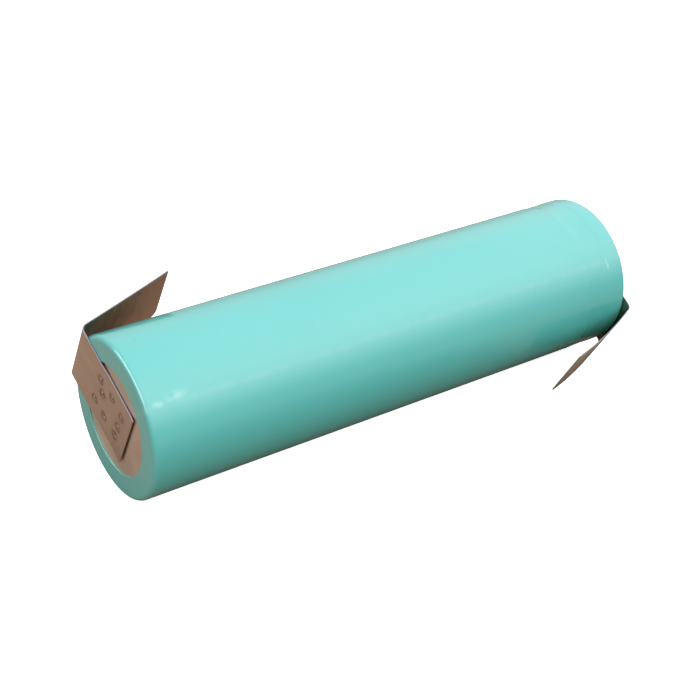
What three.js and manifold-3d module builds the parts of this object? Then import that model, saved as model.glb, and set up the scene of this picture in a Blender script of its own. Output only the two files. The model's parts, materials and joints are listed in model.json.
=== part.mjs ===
// Cylindrical lithium-ion cell of the 18650 format in a shrink sleeve, with a nickel solder tab
// spot-welded on each end and folded back along the cell.
//
// Millimetres. The cell lies on its side: +X runs along its axis from the negative to the positive
// end and +Z is up. The origin is on the axis, at the outer face of the negative tab.
// In a turned section each point is [distance along X, radius]. In a tab's own frame x points into
// the cell, s runs from the axis to the fold, and w runs across the strip.

import * as THREE from 'three';
import { mergeVertices } from 'three/addons/utils/BufferGeometryUtils.js';
import Module from 'manifold-3d';

const wasm = await Module();
wasm.setup();

// Clearance between nested pieces, and how finely round shapes are cut.
const FIT = 0.03;
const SHELL_STEPS = 48;
const INNER_STEPS = 32;
const CORNER_STEPS = 3;

// Shrink sleeve, with a lip folded over each end of the can.
const SLEEVE_RADIUS = 9.15;
const SLEEVE_LENGTH = 65.05;
const SLEEVE_WALL = 0.1;
const SLEEVE_RIM = 0.54;
const SLEEVE_DIP = 0.06;
const NEGATIVE_OPENING = 6.37;
const POSITIVE_OPENING = 6.7;

// Nickel tabs.
const STRIP_THICKNESS = 0.15;
const STRIP_WIDTH = 8.25;
const STRIP_TO_SLEEVE = 0.03;
const FOLD_INNER_RADIUS = 0.8;
const STRIP_GAP = 0.03;
const STRIP_START = -3.2;
const WELD_TOP_RADIUS = 0.55;
const WELD_TIP_RADIUS = 0.32;
const WELD_SINK = 0.07;
const NEGATIVE_TAB = { foldAt: 9.24, flare: 17.4, legLength: 12.2, tipRound: 1.0, offset: 0.33 };
const POSITIVE_TAB = { foldAt: 9.18, flare: 18.85, legLength: 10.8, tipRound: 0.3, offset: 0.45 };
const ANGLE_BETWEEN_TABS = 3.8;

// Spot welds as [s, w] points, clear of the point on the axis.
const NEGATIVE_WELDS = [
  [3.6, 2.4],
  [2.8, 0.9],
  [3.8, -1.4],
  [1.1, 2.5],
  [1.6, -1.7],
  [-1.2, 2.1],
  [-1.1, 0.1],
  [-1.0, -1.6],
];
const POSITIVE_WELDS = [-1.4, 1.1, 3].flatMap((s) => [
  [s, -1.5],
  [s, 1.3],
]);

// Can, its bead groove and its crimped mouth.
const CAN_WALL = 0.25;
const CAN_FLOOR = 0.3;
const BEAD_FROM_END = 3.9;
const BEAD_DEPTH = 0.9;
const BEAD_REACH = 1.8;
const CRIMP_MOUTH = 7.35;

// Closing stack of the positive end.
const WASHER_THICKNESS = 0.2;
const WASHER_BORE = 5.9;
const GASKET_FLANGE = 0.3;
const GASKET_BORE = 7.3;
const STACK_RADIUS = 8.25;
const VENT_THICKNESS = 0.3;
const VENT_CENTRE = 2.4;
const PTC_THICKNESS = 0.35;
const PTC_BORE = 5.7;
const CAP_THICKNESS = 0.4;
const CAP_BOSS = 4.5;
const CAP_ROOT = 5.4;
const CAP_BELOW_SLEEVE = 0.05;
const CAP_WINDOWS = 4;
const CID_RING_THICKNESS = 0.35;
const CID_RING_BORE = 5;
const CID_PLATE_THICKNESS = 0.4;
const CID_RADIUS = 6.9;
const CID_HOLES = 6;

// Wound electrodes.
const ROLL_CORE = 2.5;
const ROLL_RADIUS = 8.1;
const ROLL_TURNS = 7;
const ROLL_STEPS_PER_TURN = 16;
const SEPARATOR_THICKNESS = 0.07;
const ANODE_THICKNESS = 0.24;
const CATHODE_THICKNESS = 0.22;
const ELECTRODE_STEP_BACK = 0.5;
const TAPE_THICKNESS = 0.07;
const TAPE_INSET = 4;
const PIN_RADIUS = 1.5;
const PIN_WALL = 0.3;

// Insulators and the leads of the electrodes.
const INSULATOR_THICKNESS = 0.3;
const LEAD_THICKNESS = 0.1;
const LEAD_WIDTH = 2.8;
const ANODE_LEAD_RADIUS = 8.36;
const ANODE_LEAD_LENGTH = 18;
const CATHODE_LEAD_RADIUS = 1.65;
const CATHODE_LEAD_START = 34;

// Places along X and radii that follow from the sizes above.
const SLEEVE_START = STRIP_THICKNESS + STRIP_TO_SLEEVE;
const SLEEVE_END = SLEEVE_START + SLEEVE_LENGTH;
const CELL_END = SLEEVE_END + STRIP_TO_SLEEVE + STRIP_THICKNESS;
const FOLD_OUTER_RADIUS = FOLD_INNER_RADIUS + STRIP_THICKNESS;
const CAN_RADIUS = SLEEVE_RADIUS - SLEEVE_WALL - FIT;
const CAN_CORNER = SLEEVE_RIM - SLEEVE_WALL - FIT;
const CAN_START = SLEEVE_START + SLEEVE_WALL + FIT;
const CAN_END = SLEEVE_END - SLEEVE_WALL - WASHER_THICKNESS - 2 * FIT;
const CAN_BORE = CAN_RADIUS - CAN_WALL;
const BEAD = SLEEVE_END - BEAD_FROM_END;
const CAP_TOP = SLEEVE_END - CAP_BELOW_SLEEVE;
const GASKET_START = BEAD + 1.15;
const VENT_START = GASKET_START + GASKET_FLANGE + FIT;
const PTC_START = VENT_START + VENT_THICKNESS + FIT;
const CAP_START = PTC_START + PTC_THICKNESS + FIT;
const GASKET_END = CAN_END - CAN_WALL - FIT;
const CID_RING_START = VENT_START - FIT - CID_RING_THICKNESS;
const CID_PLATE_START = CID_RING_START - FIT - CID_PLATE_THICKNESS;
const UPPER_INSULATOR_START = BEAD - BEAD_REACH - 0.1 - INSULATOR_THICKNESS - FIT;
const ANODE_LEAD_START = CAN_START + CAN_FLOOR + FIT;
const LOWER_INSULATOR_START = ANODE_LEAD_START + LEAD_THICKNESS + FIT;
const ROLL_START = LOWER_INSULATOR_START + INSULATOR_THICKNESS + FIT;
const ROLL_END = UPPER_INSULATOR_START - FIT;

const QUARTER = Math.PI / 2;
const X_AXIS = new THREE.Vector3(1, 0, 0);
const Y_AXIS = new THREE.Vector3(0, 1, 0);
const Z_AXIS = new THREE.Vector3(0, 0, 1);

const MATERIALS = {
  sleeve: { color: 0x8fd6cf, roughness: 0.42, metalness: 0 },
  nickel: { color: 0xa8988a, roughness: 0.38, metalness: 0.95 },
  steel: { color: 0xb4aea6, roughness: 0.35, metalness: 0.95 },
  aluminium: { color: 0xc9cccd, roughness: 0.4, metalness: 0.95 },
  copper: { color: 0x4a4644, roughness: 0.7, metalness: 0.3 },
  oxide: { color: 0x2f3033, roughness: 0.8, metalness: 0.1 },
  film: { color: 0xe9eae6, roughness: 0.5, metalness: 0 },
  gasket: { color: 0xd9dad6, roughness: 0.5, metalness: 0 },
  washer: { color: 0xe6e3da, roughness: 0.8, metalness: 0 },
  polymer: { color: 0x3a3a3c, roughness: 0.7, metalness: 0 },
  tape: { color: 0xc7b36a, roughness: 0.45, metalness: 0 },
};

// Points of an arc in a turned section or a flat outline, angles from the first axis to the second.
function arc(first, second, radius, from, to, steps = CORNER_STEPS) {
  return Array.from({ length: steps + 1 }, (_, i) => {
    const angle = from + ((to - from) * i) / steps;
    return [first + radius * Math.cos(angle), second + radius * Math.sin(angle)];
  });
}

// Solid of revolution about X. The section runs along +X on its outer side, and a ring's section
// closes on itself. A facet, not a ridge, faces straight down.
function turned(section, steps = INNER_STEPS) {
  const onAxis = section[0][1] === 0;
  const outline = onAxis ? section : [...section, section[0]];
  const points = outline.map(([along, radius]) => new THREE.Vector2(radius, along));
  return new THREE.LatheGeometry(points, steps, Math.PI / steps).rotateZ(-QUARTER);
}

function disc(start, thickness, radius) {
  return turned([
    [start, 0],
    [start, radius],
    [start + thickness, radius],
    [start + thickness, 0],
  ]);
}

function ring(start, end, bore, radius, steps = INNER_STEPS) {
  return turned(
    [
      [start, radius],
      [end, radius],
      [end, bore],
      [start, bore],
    ],
    steps,
  );
}

// Flat outline extruded by a depth. The outline's two axes and the depth become the given directions.
function extruded(outline, depth, directions) {
  const shape = new THREE.Shape(outline.map(([u, v]) => new THREE.Vector2(u, v)));
  const geometry = new THREE.ExtrudeGeometry(shape, { depth, bevelEnabled: false, steps: 1 });
  return geometry.applyMatrix4(new THREE.Matrix4().makeBasis(...directions));
}

function solidOf(geometry) {
  const bare = geometry.clone();
  bare.deleteAttribute('normal');
  bare.deleteAttribute('uv');
  const merged = mergeVertices(bare, 1e-4);
  return new wasm.Manifold(
    new wasm.Mesh({
      numProp: 3,
      vertProperties: merged.attributes.position.array,
      triVerts: new Uint32Array(merged.index.array),
    }),
  );
}

function geometryOf(solid) {
  const { vertProperties, triVerts } = solid.getMesh();
  const geometry = new THREE.BufferGeometry();
  geometry.setAttribute('position', new THREE.BufferAttribute(vertProperties, 3));
  geometry.setIndex(new THREE.BufferAttribute(triVerts, 1));
  geometry.computeVertexNormals();
  return geometry;
}

function cut(geometry, tools) {
  return geometryOf(tools.reduce((solid, tool) => solid.subtract(solidOf(tool)), solidOf(geometry)));
}

// A round tool along X at a distance from the axis and an angle about it.
function pegAlongX(start, end, radius, distance, angle, steps = 10) {
  return new THREE.CylinderGeometry(radius, radius, end - start, steps)
    .rotateZ(-QUARTER)
    .translate((start + end) / 2, distance * Math.cos(angle), distance * Math.sin(angle));
}

function sleeve() {
  const rimRadius = SLEEVE_RADIUS - SLEEVE_RIM;
  const inner = SLEEVE_RADIUS - SLEEVE_WALL;
  const nearRim = SLEEVE_START + SLEEVE_RIM;
  const farRim = SLEEVE_END - SLEEVE_RIM;
  const dip = BEAD_REACH / 2;
  return turned(
    [
      [SLEEVE_START, NEGATIVE_OPENING],
      ...arc(nearRim, rimRadius, SLEEVE_RIM, Math.PI, QUARTER),
      [BEAD - BEAD_REACH, SLEEVE_RADIUS],
      [BEAD - dip, SLEEVE_RADIUS - SLEEVE_DIP],
      [BEAD + dip, SLEEVE_RADIUS - SLEEVE_DIP],
      [BEAD + BEAD_REACH, SLEEVE_RADIUS],
      ...arc(farRim, rimRadius, SLEEVE_RIM, QUARTER, 0),
      [SLEEVE_END, POSITIVE_OPENING],
      [SLEEVE_END - SLEEVE_WALL, POSITIVE_OPENING],
      ...arc(farRim, rimRadius, SLEEVE_RIM - SLEEVE_WALL, 0, QUARTER),
      [BEAD + BEAD_REACH, inner],
      [BEAD + dip, inner - SLEEVE_DIP],
      [BEAD - dip, inner - SLEEVE_DIP],
      [BEAD - BEAD_REACH, inner],
      ...arc(nearRim, rimRadius, SLEEVE_RIM - SLEEVE_WALL, QUARTER, Math.PI),
      [SLEEVE_START + SLEEVE_WALL, NEGATIVE_OPENING],
    ],
    SHELL_STEPS,
  );
}

// The bead groove as seen from outside: its two shoulders and its root.
function beadOutline(radius, widening) {
  return [
    [BEAD - BEAD_REACH - widening, radius],
    [BEAD - 1 - widening, radius - 0.25],
    [BEAD - 0.35 - widening, radius - BEAD_DEPTH],
    [BEAD + 0.35 + widening, radius - BEAD_DEPTH],
    [BEAD + 1 + widening, radius - 0.25],
    [BEAD + BEAD_REACH + widening, radius],
  ];
}

function can() {
  const cornerAt = CAN_RADIUS - CAN_CORNER;
  const innerCorner = CAN_CORNER - CAN_WALL;
  const floor = CAN_START + CAN_FLOOR;
  return turned(
    [
      [CAN_START, 0],
      ...arc(CAN_START + CAN_CORNER, cornerAt, CAN_CORNER, Math.PI, QUARTER),
      ...beadOutline(CAN_RADIUS, 0),
      ...arc(CAN_END - CAN_CORNER, cornerAt, CAN_CORNER, QUARTER, 0),
      [CAN_END, CRIMP_MOUTH],
      [CAN_END - CAN_WALL, CRIMP_MOUTH],
      ...arc(CAN_END - CAN_CORNER, cornerAt, innerCorner, 0, QUARTER, 1),
      ...beadOutline(CAN_BORE, 0.12).reverse(),
      ...arc(floor + innerCorner, cornerAt, innerCorner, QUARTER, Math.PI, 1),
      [floor, 0],
    ],
    SHELL_STEPS,
  );
}

function topWasher() {
  const start = CAN_END + FIT;
  return ring(start, start + WASHER_THICKNESS, WASHER_BORE, SLEEVE_RADIUS - SLEEVE_RIM);
}

// Channel-shaped seal: a wall against the can, a flange below the stack and one above it.
function crimpGasket() {
  const outer = CAN_BORE - 2 * FIT;
  const wall = STACK_RADIUS + FIT;
  const capTop = CAP_START + CAP_THICKNESS + FIT;
  return turned([
    [GASKET_START, outer - 0.3],
    [GASKET_START + 0.85, outer],
    [GASKET_END - 0.15, outer],
    [GASKET_END, outer - 0.15],
    [GASKET_END, GASKET_BORE - 0.3],
    [capTop, GASKET_BORE - 0.3],
    [capTop, wall],
    [GASKET_START + GASKET_FLANGE, wall],
    [GASKET_START + GASKET_FLANGE, GASKET_BORE],
    [GASKET_START, GASKET_BORE],
  ]);
}

// Flat-topped terminal with a raised boss and vent windows through the boss's sloping wall.
function positiveCap() {
  return turned([
    [CAP_TOP - CAP_THICKNESS, 0],
    [CAP_TOP - CAP_THICKNESS, CAP_BOSS - CAP_THICKNESS],
    [CAP_START, CAP_ROOT - CAP_THICKNESS],
    [CAP_START, STACK_RADIUS],
    [CAP_START + CAP_THICKNESS, STACK_RADIUS],
    [CAP_START + CAP_THICKNESS, CAP_ROOT],
    [CAP_TOP - 0.15, CAP_BOSS + 0.1],
    [CAP_TOP, CAP_BOSS - 0.1],
    [CAP_TOP, 0],
  ]);
}

function capWindows() {
  const low = CAP_START + CAP_THICKNESS + 0.15;
  const high = CAP_TOP - CAP_THICKNESS - 0.1;
  return Array.from({ length: CAP_WINDOWS }, (_, i) => {
    const window = new THREE.BoxGeometry(high - low, 3, 2.2);
    window.translate((low + high) / 2, CAP_BOSS + 0.4, 0);
    return window.rotateX((i * 2 * Math.PI) / CAP_WINDOWS);
  });
}

function ptcRing() {
  return ring(PTC_START, PTC_START + PTC_THICKNESS, PTC_BORE, STACK_RADIUS);
}

// Burst disc, dished at its centre to touch the current-interrupt plate.
function ventDisc() {
  const dish = VENT_START - CID_RING_START;
  const top = VENT_START + VENT_THICKNESS;
  return turned([
    [VENT_START - dish, 0],
    [VENT_START - dish, VENT_CENTRE],
    [VENT_START, CID_RING_BORE - 0.4],
    [VENT_START, STACK_RADIUS],
    [top, STACK_RADIUS],
    [top, CID_RING_BORE - 0.4],
    [top - dish, VENT_CENTRE],
    [top - dish, 0],
  ]);
}

function cidInsulator() {
  return ring(CID_RING_START, CID_RING_START + CID_RING_THICKNESS, CID_RING_BORE, CID_RADIUS);
}

function cidPlate() {
  const end = CID_PLATE_START + CID_PLATE_THICKNESS;
  const holes = Array.from({ length: CID_HOLES }, (_, i) =>
    pegAlongX(CID_PLATE_START - 1, end + 1, 0.7, 4.4, ((i + 0.5) * 2 * Math.PI) / CID_HOLES),
  );
  return cut(disc(CID_PLATE_START, CID_PLATE_THICKNESS, CID_RADIUS), holes);
}

function upperInsulator() {
  const end = UPPER_INSULATOR_START + INSULATOR_THICKNESS;
  const plate = ring(UPPER_INSULATOR_START, end, ROLL_CORE, CAN_BORE - 0.3);
  const holes = [0, 1, 2].map((i) =>
    pegAlongX(UPPER_INSULATOR_START - 1, end + 1, 1.2, 5.4, ((i + 0.5) * 2 * Math.PI) / 3),
  );
  return cut(plate, holes);
}

function lowerInsulator() {
  const end = LOWER_INSULATOR_START + INSULATOR_THICKNESS;
  return ring(LOWER_INSULATOR_START, end, PIN_RADIUS, ANODE_LEAD_RADIUS - 2 * FIT);
}

// One layer of the wound roll: a strip that spirals out by one pitch a turn. Its depth in the pitch
// sets it among the other layers, and it is stepped back from both ends of the roll.
function windingLayer(depthInPitch, thickness, stepBack, fromTurn, toTurn) {
  const pitch = (ROLL_RADIUS - ROLL_CORE) / (ROLL_TURNS + 1);
  const steps = Math.round((toTurn - fromTurn) * ROLL_STEPS_PER_TURN);
  const spiral = Array.from({ length: steps + 1 }, (_, i) => {
    const turns = fromTurn + i / ROLL_STEPS_PER_TURN;
    return { angle: turns * 2 * Math.PI, radius: ROLL_CORE + pitch * turns + depthInPitch };
  });
  const at = ({ angle, radius }) => [radius * Math.cos(angle), radius * Math.sin(angle)];
  const outer = spiral.map(({ angle, radius }) => at({ angle, radius: radius + thickness }));
  const inner = spiral.map(at).reverse();
  const start = ROLL_START + stepBack;
  const length = ROLL_END - ROLL_START - 2 * stepBack;
  return extruded([...outer, ...inner], length, [Y_AXIS, Z_AXIS, X_AXIS]).translate(start, 0, 0);
}

function windingTape() {
  const bore = ROLL_RADIUS + FIT;
  return ring(ROLL_START + TAPE_INSET, ROLL_END - TAPE_INSET, bore, bore + TAPE_THICKNESS);
}

function centrePin() {
  return ring(ROLL_START, ROLL_END - 1, PIN_RADIUS - PIN_WALL, PIN_RADIUS, 16);
}

// Strip bent into an L in the plane of X and Y, centred on Z.
function angledLead(outline) {
  const mid = -LEAD_WIDTH / 2;
  return extruded(outline, LEAD_WIDTH, [X_AXIS, Y_AXIS, Z_AXIS]).translate(0, 0, mid);
}

// Runs down beside the roll and under the lower insulator to the middle of the can's floor.
function anodeLead() {
  const low = ANODE_LEAD_START;
  const outer = ANODE_LEAD_RADIUS + LEAD_THICKNESS;
  return angledLead([
    [low, -2],
    [low + LEAD_THICKNESS, -2],
    [low + LEAD_THICKNESS, ANODE_LEAD_RADIUS],
    [low + ANODE_LEAD_LENGTH, ANODE_LEAD_RADIUS],
    [low + ANODE_LEAD_LENGTH, outer],
    [low, outer],
  ]);
}

// Rises beside the centre pin and folds flat under the current-interrupt plate.
function cathodeLead() {
  const high = CID_PLATE_START - FIT;
  const outer = CATHODE_LEAD_RADIUS + LEAD_THICKNESS;
  return angledLead([
    [CATHODE_LEAD_START, CATHODE_LEAD_RADIUS],
    [high - LEAD_THICKNESS, CATHODE_LEAD_RADIUS],
    [high - LEAD_THICKNESS, -3.5],
    [high, -3.5],
    [high, outer],
    [CATHODE_LEAD_START, outer],
  ]);
}

// Angle the strip turns through at its fold, and where along s the bend starts.
function bendOf(tab) {
  const turn = QUARTER - THREE.MathUtils.degToRad(tab.flare);
  const middleRadius = FOLD_INNER_RADIUS + STRIP_THICKNESS / 2;
  return { turn, start: tab.foldAt - middleRadius * Math.tan(turn / 2) };
}

// Flat part of a tab, with spot welds sunk in its outer face and standing out of its inner face.
function tabBase(tab, welds, gapToCell) {
  const end = bendOf(tab).start - STRIP_GAP;
  const low = tab.offset - STRIP_WIDTH / 2;
  const high = tab.offset + STRIP_WIDTH / 2;
  const outline = [
    [STRIP_START, low],
    [end, low],
    [end, high],
    [STRIP_START, high],
  ];
  const plate = solidOf(extruded(outline, STRIP_THICKNESS, [Y_AXIS, Z_AXIS, X_AXIS]));
  const reach = gapToCell - FIT / 2;
  return geometryOf(
    welds.reduce((solid, [s, w]) => {
      const nugget = weldCone(s, w, STRIP_THICKNESS / 2, STRIP_THICKNESS + reach);
      const crater = weldCone(s, w, -STRIP_THICKNESS, WELD_SINK);
      return solid.add(solidOf(nugget)).subtract(solidOf(crater));
    }, plate),
  );
}

function weldCone(s, w, start, end) {
  return new THREE.CylinderGeometry(WELD_TIP_RADIUS, WELD_TOP_RADIUS, end - start, 10)
    .rotateZ(-QUARTER)
    .translate((start + end) / 2, s, w);
}

// Bent part of a tab: a sector of a tube about the fold's centre.
function tabFold(tab) {
  const { turn, start } = bendOf(tab);
  const steps = 8;
  const outer = arc(FOLD_OUTER_RADIUS, start, FOLD_OUTER_RADIUS, Math.PI, Math.PI - turn, steps);
  const inner = arc(FOLD_OUTER_RADIUS, start, FOLD_INNER_RADIUS, Math.PI - turn, Math.PI, steps);
  const fold = extruded([...inner, ...outer], STRIP_WIDTH, [X_AXIS, Y_AXIS, Z_AXIS]);
  return fold.translate(0, 0, tab.offset - STRIP_WIDTH / 2);
}

// Free leg of a tab, with its two tip corners rounded.
function tabLeg(tab) {
  const { turn, start } = bendOf(tab);
  const along = new THREE.Vector3(Math.sin(turn), Math.cos(turn), 0);
  const inward = new THREE.Vector3(Math.cos(turn), -Math.sin(turn), 0);
  const origin = new THREE.Vector3(FOLD_OUTER_RADIUS, start, 0);
  origin.addScaledVector(inward, -FOLD_OUTER_RADIUS);
  const low = tab.offset - STRIP_WIDTH / 2;
  const high = tab.offset + STRIP_WIDTH / 2;
  const round = tab.tipRound;
  const tip = tab.legLength;
  const outline = [
    [STRIP_GAP, low],
    ...arc(tip - round, low + round, round, -QUARTER, 0),
    ...arc(tip - 0.2, high - 0.2, 0.2, 0, QUARTER, 1),
    [STRIP_GAP, high],
  ];
  const leg = extruded(outline, STRIP_THICKNESS, [along, Z_AXIS, inward]);
  return leg.translate(origin.x, origin.y, origin.z);
}

// Tilt of the positive tab about X that brings the lower tip corner of its leg level with the lowest
// line of the sleeve, so that the cell lies on the sleeve and on that corner.
function restingTilt() {
  const { turn, start } = bendOf(POSITIVE_TAB);
  const outward = start + FOLD_OUTER_RADIUS * Math.sin(turn);
  const tipOut = outward + POSITIVE_TAB.legLength * Math.cos(turn);
  const tipAcross = STRIP_WIDTH / 2 - POSITIVE_TAB.offset;
  const lowest = SLEEVE_RADIUS * Math.cos(Math.PI / SHELL_STEPS);
  return Math.asin(lowest / Math.hypot(tipOut, tipAcross)) - Math.atan2(tipAcross, tipOut);
}

const cell = new THREE.Group();

function add(parent, name, geometry, finish) {
  const mesh = new THREE.Mesh(geometry, new THREE.MeshStandardMaterial(MATERIALS[finish]));
  mesh.name = name;
  parent.add(mesh);
}

function addShells() {
  add(cell, 'sleeve', sleeve(), 'sleeve');
  add(cell, 'can', can(), 'steel');
  add(cell, 'top_washer', topWasher(), 'washer');
}

function addClosure() {
  add(cell, 'crimp_gasket', crimpGasket(), 'gasket');
  add(cell, 'positive_cap', cut(positiveCap(), capWindows()), 'steel');
  add(cell, 'ptc_ring', ptcRing(), 'polymer');
  add(cell, 'vent_disc', ventDisc(), 'aluminium');
  add(cell, 'cid_insulator', cidInsulator(), 'gasket');
  add(cell, 'cid_plate', cidPlate(), 'aluminium');
}

function addRoll() {
  const pitch = (ROLL_RADIUS - ROLL_CORE) / (ROLL_TURNS + 1);
  const layers = [
    ['inner_separator', SEPARATOR_THICKNESS, 0, 0, ROLL_TURNS, 'film'],
    ['anode', ANODE_THICKNESS, ELECTRODE_STEP_BACK, 0.25, ROLL_TURNS, 'copper'],
    ['outer_separator', SEPARATOR_THICKNESS, 0, 0, ROLL_TURNS, 'film'],
    ['cathode', CATHODE_THICKNESS, 2 * ELECTRODE_STEP_BACK, 0.5, ROLL_TURNS - 0.5, 'oxide'],
  ];
  const solidDepth = layers.reduce((sum, layer) => sum + layer[1], 0);
  const gap = (pitch - solidDepth) / layers.length;
  let depth = gap / 2;
  for (const [name, thickness, stepBack, fromTurn, toTurn, finish] of layers) {
    add(cell, name, windingLayer(depth, thickness, stepBack, fromTurn, toTurn), finish);
    depth += thickness + gap;
  }
  add(cell, 'winding_tape', windingTape(), 'tape');
  add(cell, 'centre_pin', centrePin(), 'steel');
}

function addInsulatorsAndLeads() {
  add(cell, 'upper_insulator', upperInsulator(), 'washer');
  add(cell, 'lower_insulator', lowerInsulator(), 'washer');
  add(cell, 'anode_lead', anodeLead(), 'nickel');
  add(cell, 'cathode_lead', cathodeLead(), 'aluminium');
}

function addTab(side, tab, welds, gapToCell, place) {
  const group = new THREE.Group();
  place(group);
  add(group, `${side}_tab_base`, tabBase(tab, welds, gapToCell), 'nickel');
  add(group, `${side}_tab_fold`, tabFold(tab), 'nickel');
  add(group, `${side}_tab_leg`, tabLeg(tab), 'nickel');
  cell.add(group);
}

const tilt = restingTilt();
addShells();
addClosure();
addRoll();
addInsulatorsAndLeads();
addTab('negative', NEGATIVE_TAB, NEGATIVE_WELDS, CAN_START - STRIP_THICKNESS, (group) => {
  group.rotation.x = tilt - THREE.MathUtils.degToRad(ANGLE_BETWEEN_TABS);
});
addTab('positive', POSITIVE_TAB, POSITIVE_WELDS, CELL_END - STRIP_THICKNESS - CAP_TOP, (group) => {
  group.position.x = CELL_END;
  group.rotation.set(tilt, 0, Math.PI);
});

export default cell;
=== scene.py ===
import json
import math

import bmesh
import bpy
import numpy as np
from mathutils import Matrix, Vector


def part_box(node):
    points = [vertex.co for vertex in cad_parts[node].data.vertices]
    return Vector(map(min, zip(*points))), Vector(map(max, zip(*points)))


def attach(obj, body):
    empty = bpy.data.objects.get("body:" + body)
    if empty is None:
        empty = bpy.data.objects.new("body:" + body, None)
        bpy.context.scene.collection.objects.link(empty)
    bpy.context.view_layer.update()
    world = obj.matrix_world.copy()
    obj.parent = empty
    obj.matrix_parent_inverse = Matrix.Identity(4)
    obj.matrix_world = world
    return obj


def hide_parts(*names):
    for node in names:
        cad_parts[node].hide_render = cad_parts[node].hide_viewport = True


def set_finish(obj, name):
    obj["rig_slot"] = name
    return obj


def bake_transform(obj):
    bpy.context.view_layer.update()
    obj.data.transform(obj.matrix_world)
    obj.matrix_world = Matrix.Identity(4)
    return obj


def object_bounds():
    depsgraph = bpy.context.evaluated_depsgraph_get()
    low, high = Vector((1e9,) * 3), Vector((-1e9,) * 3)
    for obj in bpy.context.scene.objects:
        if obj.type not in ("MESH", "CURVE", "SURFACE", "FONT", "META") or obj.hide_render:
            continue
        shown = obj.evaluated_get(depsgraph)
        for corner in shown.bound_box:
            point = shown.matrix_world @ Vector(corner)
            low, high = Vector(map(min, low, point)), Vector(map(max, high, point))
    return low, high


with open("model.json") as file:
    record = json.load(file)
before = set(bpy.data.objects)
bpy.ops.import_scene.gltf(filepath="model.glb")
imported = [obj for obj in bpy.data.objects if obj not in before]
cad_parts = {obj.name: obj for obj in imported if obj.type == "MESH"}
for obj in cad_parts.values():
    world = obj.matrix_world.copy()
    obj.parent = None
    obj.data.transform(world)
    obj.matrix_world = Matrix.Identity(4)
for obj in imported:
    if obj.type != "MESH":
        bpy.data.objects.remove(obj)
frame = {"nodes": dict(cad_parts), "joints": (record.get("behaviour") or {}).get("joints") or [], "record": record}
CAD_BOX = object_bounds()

# Looks of a cylindrical battery cell in a shrink sleeve, with a nickel solder tab on each end.
# Metres, in the frame of the CAD: +X along the cell from its negative end, +Z up.
# The cell lies on the floor with its axis level.

MM = 0.001
QUARTER = math.pi / 2
FULL_TURN = 2 * math.pi
X_AXIS = Vector((1, 0, 0))
SLEEVE_LOW, SLEEVE_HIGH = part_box("sleeve")
CAP_LOW, CAP_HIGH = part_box("positive_cap")
WASHER_LOW, WASHER_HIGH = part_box("top_washer")
CAN_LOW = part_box("can")[0]

# Sleeve: the film's wall, the rim's outer radius, the two openings and the rounding of the near cut edge.
SLEEVE_RADIUS = SLEEVE_HIGH.z
SLEEVE_WALL = 0.1 * MM
SLEEVE_RIM = 0.54 * MM
NEGATIVE_OPENING = 6.37 * MM
POSITIVE_OPENING = 6.7 * MM
CUT_EDGE = 0.018 * MM
SLEEVE_STEPS = 300

# Unevenness of the shrunk film: how far it sinks, how much that varies, and how much and over what
# width of the lip its openings wander.
FILM_SINK = 0.010 * MM
FILM_SINK_CHANGE = 0.004 * MM
LIP_WANDER = 0.035 * MM
LIP_WIDTH = 0.6 * MM

# Seeds of the random patterns.
FILM_SEED = 3
NEGATIVE_LIP_SEED = 11
POSITIVE_LIP_SEED = 12
WASHER_SEED = 21
STRIP_SEED = 31
WELD_SEEDS = {"negative": 5, "positive": 6}

# Bead groove under the film: place, half width, slope, depth, and the ridge at each shoulder.
BEAD_FROM_END = 3.9 * MM
BEAD_REACH = 1.85 * MM
BEAD_SLOPE = 0.95 * MM
BEAD_DIP = 0.05 * MM
BEAD_RIDGE = 0.010 * MM
BEAD_RIDGE_WIDTH = 0.16 * MM

# Lengthwise crease of the film: angle up from the front, half widths in shape and in its painted highlight, and
# height.
CREASE_ANGLE = math.radians(38)
CREASE_WIDTH = math.radians(2.4)
CREASE_HIGHLIGHT_WIDTH = math.radians(2.8)
CREASE_HEIGHT = 0.005 * MM

# Nickel strips: thickness, edge break, inner radius at the fold, gap between the CAD's strip nodes,
# how wavy the flat part is, and how deep the welding pressed its inner end.
STRIP = 0.15 * MM
EDGE = 0.022 * MM
FOLD_INNER = 0.8 * MM
STRIP_GAP = 0.03 * MM
STRIP_WAVES = 0.010 * MM
STRIP_PRESSED = 0.085 * MM

# Spot welds: their (s, w) points in millimetres, the gap from their backs to the cell, and a crater's
# greatest depth and its lumps. The crater's hollow, the nub in it and the dish round it have a depth and the two
# radii that they fade between, and the other marks have the two radii alone. The last two numbers
# are how far the painted highlight and the painted shade lie from the middle, and how far the nub may lean, in
# millimetres.
NEGATIVE_WELDS = [(3.6, 2.4), (2.8, 0.9), (3.8, -1.4), (1.1, 2.5)]
NEGATIVE_WELDS += [(1.6, -1.7), (-1.2, 2.1), (-1.1, 0.1), (-1.0, -1.6)]
POSITIVE_WELDS = [(s, w) for s in (-1.4, 1.1, 3) for w in (-1.5, 1.3)]
WELD_GAP = 0.015 * MM
WELD_DEEPEST = 0.1 * MM
WELD_LUMPS = 0.012 * MM
CRATER_PIT = (0.075 * MM, 0.30 * MM, 0.50 * MM)
CRATER_NUB = (0.055 * MM, 0.06 * MM, 0.24 * MM)
CRATER_DISH = (0.012 * MM, 0.5 * MM, 0.75 * MM)
LUMPS_RADII = (0.2 * MM, 0.45 * MM)
BACK_RADII = (0.3 * MM, 0.62 * MM)
SCAR_RADII = (0.34 * MM, 0.46 * MM)
BURN_RADII = (0.50 * MM, 0.66 * MM)
HALO_RADII = (0.55 * MM, 1.05 * MM)
GLINT_RADII = (0.06 * MM, 0.20 * MM)
GLINT_FROM_MIDDLE = 0.15 * MM
NUB_LEAN = 0.09

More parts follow.
